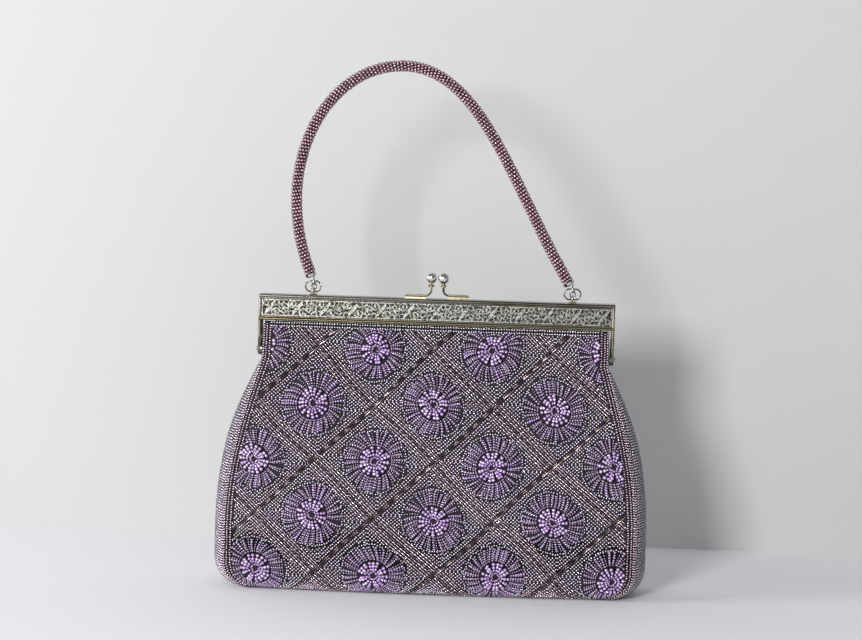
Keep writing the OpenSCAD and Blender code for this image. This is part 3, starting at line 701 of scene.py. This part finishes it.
def panel_borders(strand):
    """Three rows along each seam, and two rows under the frame."""
    for inset, pitch, half_w in ((0.9, bead_pitch, seed_w), (2.4, 1.25, 0.62), (4.3, bead_pitch, seed_w)):
        seam_row(strand, panel_edge, inset, base_t + 0.8, flare_z - 0.6, pitch, half_w)
    # These two rows are painted lighter, against the shade the frame casts on them.
    for drop in (0.8, 2.6):
        x = np.arange(-neck_x + 5, neck_x - 5, bead_pitch)
        strand.put(x, flare_z - drop, 0.0, seed_l, 0.66, tinted(TOP_ROWS_PAINTED_LIGHT, len(x), 0.05), lift=0.9)


def beaded_panel(prefix, turned):
    """All the beads of one face of the bag, in pieces."""
    ground, fine, bugles, hearts, lilac, dark = (Strand() for _ in range(6))
    for centre in cell_centres():
        ground_rows(ground, fine, centre)
        round_row(ground, centre, rosette_r + round_row_gap)
        lattice_lines(bugles, centre)
        flower(hearts, centre)
        outer_ring(lilac, dark, centre)
    panel_borders(ground)
    beads = ground.all()
    left = beads[:, 0] < 0
    pieces = (
        ("ground_left", beads[left], SEED, lustre_beads, 0.08),
        ("ground_right", beads[~left], SEED, lustre_beads, 0.08),
        ("fine_rows", fine.all(), TUBE, bugle_glass, 0.05),
        ("bugles", bugles.all(), TUBE, bugle_glass, 0.04),
        ("hearts", hearts.all(), SEED, lilac_beads, 0.06),
        ("rings_lilac", lilac.all(), SEED, lilac_beads, 0.05),
        ("rings_dark", dark.all(), SEED, lustre_beads, 0.05),
    )
    for name, laid, shape, glass, jitter in pieces:
        piece = strew(f"{prefix}_{name}", laid, front_surface, shape, glass, turned, jitter)
        bend_at_hinge(piece)


def beaded_gusset(name, turned):
    """Level rows of seed beads between the two seams, with two rows along each seam."""
    strand = Strand()
    low = gusset_low + 0.8
    for t in np.arange(low, gusset_high, row_pitch):
        reach = float(gusset_reach(np.array(t))) - 4.4
        if reach > 1:
            y = np.arange(-reach, reach, bead_pitch) + bead_pitch / 2 * rng.random()
            strand.put(y, t, 0.0, seed_l, seed_w, tinted(LUSTRE, len(y)))
    for inset in (1.0, 2.6):
        seam_row(strand, gusset_reach, inset, low, gusset_high, bead_pitch, seed_w)
    piece = strew(name, strand.all(), right_surface, SEED, lustre_beads, turned)
    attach(piece, "bag")


def beaded_base():
    """Rows of seed beads along the flat underside."""
    strand = Strand()
    half_x, half_y = belly_x - corner_r, belly_d - edge_r
    for y in np.arange(-half_y - panel_bulge + 1, half_y + panel_bulge - 0.6, row_pitch):
        v = np.clip(y / half_y, -1, 1)
        reach = half_x + gusset_bulge * (1 - v * v) - 0.8
        if abs(y) > half_y:
            reach = half_x * math.sqrt(max(0.0, 1 - (abs(y) - half_y) / panel_bulge)) - 0.8
        x = np.arange(-reach, reach, bead_pitch)
        strand.put(x, y, 0.0, seed_l, seed_w, tinted(LUSTRE, len(x)))
    piece = strew("base_beads", strand.all(), base_surface, SEED, lustre_beads)
    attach(piece, "bag")


# Cloth under the beads, and the lining

def sheet_mesh(name, surface, edge, low, high, inset, thickness, steps, material, turned=False):
    """A closed sheet of cloth that follows a surface between its seams, drawn in from it."""
    b = bmesh.new()
    bmesh.ops.create_grid(b, x_segments=steps[0], y_segments=steps[1], size=1.0)
    unit = np.array([v.co[:2] for v in b.verts])
    t = low + (high - low) * (unit[:, 1] + 1) / 2
    a = unit[:, 0] * (edge(t) - 0.2)
    normal = directions(surface, a, t)[2]
    co = surface(a, t) - normal * inset
    if turned:
        co = half_turn(co)
    for v, p in zip(b.verts, co):
        v.co = Vector(p) * MM
    bmesh.ops.solidify(b, geom=b.faces[:], thickness=thickness * MM)
    bmesh.ops.recalc_face_normals(b, faces=b.faces[:])
    mesh = bpy.data.meshes.new(name)
    b.to_mesh(mesh)
    b.free()
    mesh.shade_smooth()
    return finish_piece(name, mesh, material)


def base_reach(y):
    """Half length of the flat underside."""
    return belly_x - corner_r + 0 * y


def cloth_of_bag():
    """The cloth of each face under its beads, and the satin behind it."""
    for prefix, half, turned in (("front", "front_half", False), ("rear", "rear_half", True)):
        cloth = sheet_mesh(f"{prefix}_cloth", front_surface, panel_edge, base_t, flare_z - 0.2, bead_depth,
                           cloth_thickness, (60, 60), ground_cloth, turned)
        bend_at_hinge(cloth)
        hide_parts(f"{prefix}_panel", f"{prefix}_panel_top", f"{prefix}_fold")
        satin = sheet_mesh(f"{prefix}_lining", front_surface, panel_edge, satin_low, flare_z - 0.5,
                           satin_depth, satin_thickness, (50, 50), lining_satin, turned)
        bend_at_hinge(satin)
        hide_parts(f"{prefix}_lining_top")
    for name, turned in (("right", False), ("left", True)):
        cloth = sheet_mesh(f"{name}_gusset_cloth", right_surface, gusset_reach, gusset_low, gusset_high + 0.3,
                           bead_depth, cloth_thickness, (16, 50), ground_cloth, turned)
        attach(cloth, "bag")
        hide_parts(f"{name}_gusset")
        satin = sheet_mesh(f"{name}_gusset_lining", right_surface, gusset_reach, satin_low, gusset_high,
                           satin_depth, satin_thickness, (14, 40), lining_satin, turned)
        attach(satin, "bag")
    half_y = belly_d - edge_r + panel_bulge - 1
    base = sheet_mesh("base_cloth", base_surface, base_reach, -half_y, half_y, bead_depth, cloth_thickness,
                      (40, 10), ground_cloth)
    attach(base, "bag")
    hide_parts("base_panel")
    floor_satin = sheet_mesh("lining_floor", base_surface, base_reach, -half_y + 2, half_y - 2,
                             satin_depth + card_thickness, satin_thickness, (40, 10), lining_satin)
    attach(floor_satin, "bag")
    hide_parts("lining")


# The handle: a rope of beads worked round a cord, along two curves that meet at the crest

crest = np.array([-22.4, frame_top + 130])
ring_axis_z = 171.325
left_start = np.array([-70.0, ring_axis_z])
right_start = np.array([76.0, ring_axis_z])
left_lean, right_lean = math.radians(115), math.radians(123)
left_pull, right_pull, crest_pull = 67.6, 63.7, 45.0
cap_length = 3.8
rope_r, core_r = 3.4, 2.35
beads_round, round_pitch, handle_bead_r = 9.5, 1.95, 0.88
bead_slant, cap_taper, taper_length = 0.42, 0.85, 2.5


def cubic(points, s):
    """Points of a curve that is pulled by two of its four points, at shares s of its way."""
    a, b, c, d = points
    s = np.asarray(s)[:, None]
    return a * (1 - s) ** 3 + 3 * b * s * (1 - s) ** 2 + 3 * c * s * s * (1 - s) + d * s ** 3


def heading(angle):
    return np.array([math.cos(angle), math.sin(angle)])


def handle_line():
    """Points of the rope's middle line from cap to cap, and how far along the line each one lies."""
    left = [left_start, left_start + left_pull * heading(left_lean), crest - [crest_pull, 0], crest]
    right = [crest, crest + [crest_pull, 0], right_start + right_pull * heading(right_lean), right_start]
    first = cap_length / (3 * left_pull)
    last = 1 - cap_length / (3 * right_pull)
    samples = 600
    climb = cubic(left, np.linspace(first, 1, samples))
    descent = cubic(right, np.linspace(0, last, samples))
    path = np.concatenate([climb, descent[1:]])
    walked = np.concatenate([[0], np.cumsum(np.linalg.norm(np.diff(path, axis=0), axis=1))])
    return path, walked


def on_handle(distance):
    """The rope's middle and its direction at a distance along it, in the plane of the handle."""
    path, walked = handle_line()
    behind, point, ahead = (
        np.stack([np.interp(distance + step, walked, path[:, k]) for k in (0, 1)], -1)
        for step in (-0.5, 0, 0.5))
    way = (ahead - behind) / np.linalg.norm(ahead - behind, axis=1, keepdims=True)
    return point, way


def handle_pieces():
    """The beads in one long spiral round the rope, drawn in where they meet the caps, and the cord in it."""
    length = handle_line()[1][-1]
    count = int(length / round_pitch * beads_round)
    order = np.arange(count)
    end_gap = 0.7
    distance = end_gap + (length - 2 * end_gap) * order / count
    angle = 2 * math.pi * order / beads_round
    point, way = on_handle(distance)
    middle = np.stack([point[:, 0], np.full(count, handle_y), point[:, 1]], -1)
    ahead = np.stack([way[:, 0], np.zeros(count), way[:, 1]], -1)
    aside = np.stack([way[:, 1], np.zeros(count), -way[:, 0]], -1)
    depth = np.array([0.0, 1.0, 0.0])
    ends = np.minimum(distance, length - distance)
    radius = rope_r - cap_taper * np.clip(1 - ends / taper_length, 0, 1)
    half_w = np.full(count, handle_bead_r)
    outward = np.cos(angle)[:, None] * aside + np.sin(angle)[:, None] * depth
    centre = middle + outward * (radius - half_w + 0.05 * rng.standard_normal(count))[:, None]
    round_way = np.cross(outward, ahead)
    tilt = bead_slant + 0.08 * rng.standard_normal(count)
    thread = np.cos(tilt)[:, None] * ahead + np.sin(tilt)[:, None] * round_way
    side = np.cross(outward, thread)
    colour = tinted(BURGUNDY, count, 0.22)
    beads = strew_at("handle_beads", centre, (thread, side, outward), half_w * 0.92, half_w * 0.98, colour,
                     BARREL, handle_glass)
    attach(beads, "handle")
    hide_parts("handle_beading")
    cord = handle_cord()
    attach(cord, "handle")
    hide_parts("handle_core")


def handle_cord():
    """The dark cord under the beads, as a tube along the same line."""
    count = 120
    point, way = on_handle(np.linspace(0, handle_line()[1][-1], count))
    b = bmesh.new()
    bmesh.ops.create_grid(b, x_segments=12, y_segments=count - 1, size=1.0)
    for v in b.verts:
        turn = math.pi * (v.co.x + 1)
        k = int(round((v.co.y + 1) / 2 * (count - 1)))
        aside = Vector((way[k][1], 0, -way[k][0]))
        middle = Vector((point[k][0], handle_y, point[k][1]))
        v.co = (middle + core_r * (math.cos(turn) * aside + math.sin(turn) * Vector((0, 1, 0)))) * MM
    bmesh.ops.remove_doubles(b, verts=b.verts[:], dist=0.00001)
    bmesh.ops.holes_fill(b, edges=[e for e in b.edges if e.is_boundary], sides=0)
    bmesh.ops.recalc_face_normals(b, faces=b.faces[:])
    mesh = bpy.data.meshes.new("handle_cord")
    b.to_mesh(mesh)
    b.free()
    mesh.shade_smooth()
    return finish_piece("handle_cord", mesh, ground_cloth)


# The filigree's curls, and the finishes of the nodes that stay

curl_r, curl_pitch, curl_y = 0.9, 1.75, -5.75


def filigree_infill(name, half, turned):
    """Small curls of wire that fill the strip behind its scrolls."""
    reach, low, high = neck_x - 1.6, frame_low + 2.9, frame_top - 2.6
    rows = []
    for k, z in enumerate(np.arange(low, high, curl_pitch * 0.88)):
        x = np.arange(-reach, reach, curl_pitch) + curl_pitch / 2 * (k % 2)
        rows.append(np.column_stack([x, np.full(len(x), z)]))
    place = np.concatenate(rows)
    count = len(place)
    place = place + 0.12 * rng.standard_normal((count, 2))
    centre = np.column_stack([place[:, 0], np.full(count, curl_y), place[:, 1]])
    size = np.full(count, curl_r)
    ways = [np.tile(v, (count, 1)) for v in ([1.0, 0, 0], [0, 0, 1.0], [0, -1.0, 0])]
    piece = strew_at(name, centre, ways, size, size, np.ones((count, 3)), WIRE_RING, wire_silver,
                     turned)
    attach(piece, half)


def dress(names, material):
    """Gives nodes of the frame's model their material."""
    for name in names:
        mesh = nodes[name].data
        mesh.materials.clear()
        mesh.materials.append(material)


def dress_metal():
    dress(["front_frame", "rear_frame"], frame_silver)
    dress(["front_filigree", "rear_filigree"], filigree_silver)
    dress(["left_hinge_rivet", "right_hinge_rivet"], rivet_silver)
    dress(["front_clasp_arm", "rear_clasp_arm", "left_lug", "right_lug"], clasp_gold)
    dress(["front_clasp_ball", "rear_clasp_ball", "left_end_cap", "right_end_cap"], ball_silver)
    dress(["left_jump_rings", "right_jump_rings"], ring_silver)
    dress(["front_channel_cord", "rear_channel_cord"], cotton_cord)
    dress(["base_card"], card)


# Stage, lights and camera

def stage_board(name, size, place, turn, colour):
    """A plain board, see-through from its back so that a view from there is open."""
    b = bmesh.new()
    bmesh.ops.create_grid(b, x_segments=1, y_segments=1, size=size)
    bmesh.ops.rotate(b, verts=b.verts[:], matrix=Matrix.Rotation(turn, 3, "X"))
    bmesh.ops.translate(b, verts=b.verts[:], vec=place)
    mesh = bpy.data.meshes.new(name)
    b.to_mesh(mesh)
    b.free()
    m, tree, bsdf = shader(name, 0.9)
    bsdf.inputs["Base Color"].default_value = (*colour, 1.0)
    bsdf.inputs["Specular IOR Level"].default_value = 0.1
    behind = add(tree, "ShaderNodeNewGeometry").outputs["Backfacing"]
    clear = add(tree, "ShaderNodeBsdfTransparent").outputs["BSDF"]
    seen = add(tree, "ShaderNodeMixShader", {0: behind, 1: bsdf.outputs["BSDF"], 2: clear}).outputs["Shader"]
    tree.links.new(seen, tree.nodes["Material Output"].inputs["Surface"])
    mesh.materials.append(m)
    board = bpy.data.objects.new(name, mesh)
    bpy.context.scene.collection.objects.link(board)


def softbox(name, place, aim, side, power, colour):
    """A square soft light, turned to what it lights."""
    lamp = bpy.data.lights.new(name, "AREA")
    lamp.shape = "SQUARE"
    lamp.size = side
    lamp.energy = power
    lamp.color = colour
    box = bpy.data.objects.new(name, lamp)
    box.location = place
    box.rotation_euler = (Vector(aim) - Vector(place)).to_track_quat("-Z", "Y").to_euler()
    bpy.context.scene.collection.objects.link(box)


def studio():
    """The pale floor and wall, two soft lights from the left and a faint even light."""
    stage_board("floor", 3.0, (0, 0, 0), 0.0, paint(250, 250, 252))
    stage_board("backdrop", 3.0, (0, 0.17, 0), math.pi / 2, paint(196, 197, 196))
    softbox("window", (-0.62, -2.0, 0.56), (0, 0, 0.12), 0.4, 34.0, (1.0, 0.99, 0.98))
    softbox("side", (-2.0, -0.7, 0.5), (0, 0, 0.1), 0.8, 26.0, (1.0, 1.0, 1.0))
    world = bpy.data.worlds.new("room")
    world.use_nodes = True
    sky = world.node_tree.nodes["Background"].inputs
    sky["Color"].default_value = (0.9, 0.93, 1.0, 1.0)
    sky["Strength"].default_value = 0.26
    bpy.context.scene.world = world


def photograph():
    """The camera: a long lens a little above the bag, tilted as the picture is."""
    distance, picture_width, film_width = 1.4, 485.2 * MM, 36.0
    elevation, azimuth, roll = math.radians(4.0), math.radians(2.0), math.radians(1.7)
    aim = Vector((-3.1, 0.0, 152.0)) * MM
    back = Vector((math.sin(azimuth) * math.cos(elevation), -math.cos(azimuth) * math.cos(elevation),
                   math.sin(elevation)))
    lens = bpy.data.cameras.new("camera")
    lens.sensor_width = film_width
    lens.lens = film_width * distance / picture_width
    camera = bpy.data.objects.new("camera", lens)
    camera.location = aim + back * distance
    turn = (-back).to_track_quat("-Z", "Y").to_matrix() @ Matrix.Rotation(roll, 3, "Z")
    camera.rotation_euler = turn.to_euler()
    bpy.context.scene.collection.objects.link(camera)
    bpy.context.scene.camera = camera


photograph()
studio()
cloth_of_bag()
beaded_panel("front", False)
beaded_panel("rear", True)
beaded_gusset("right_gusset_beads", False)
beaded_gusset("left_gusset_beads", True)
beaded_base()
handle_pieces()
filigree_infill("front_filigree_curls", "front_half", False)
filigree_infill("rear_filigree_curls", "rear_half", True)
dress_metal()
bpy.context.scene.view_settings.view_transform = "Standard"
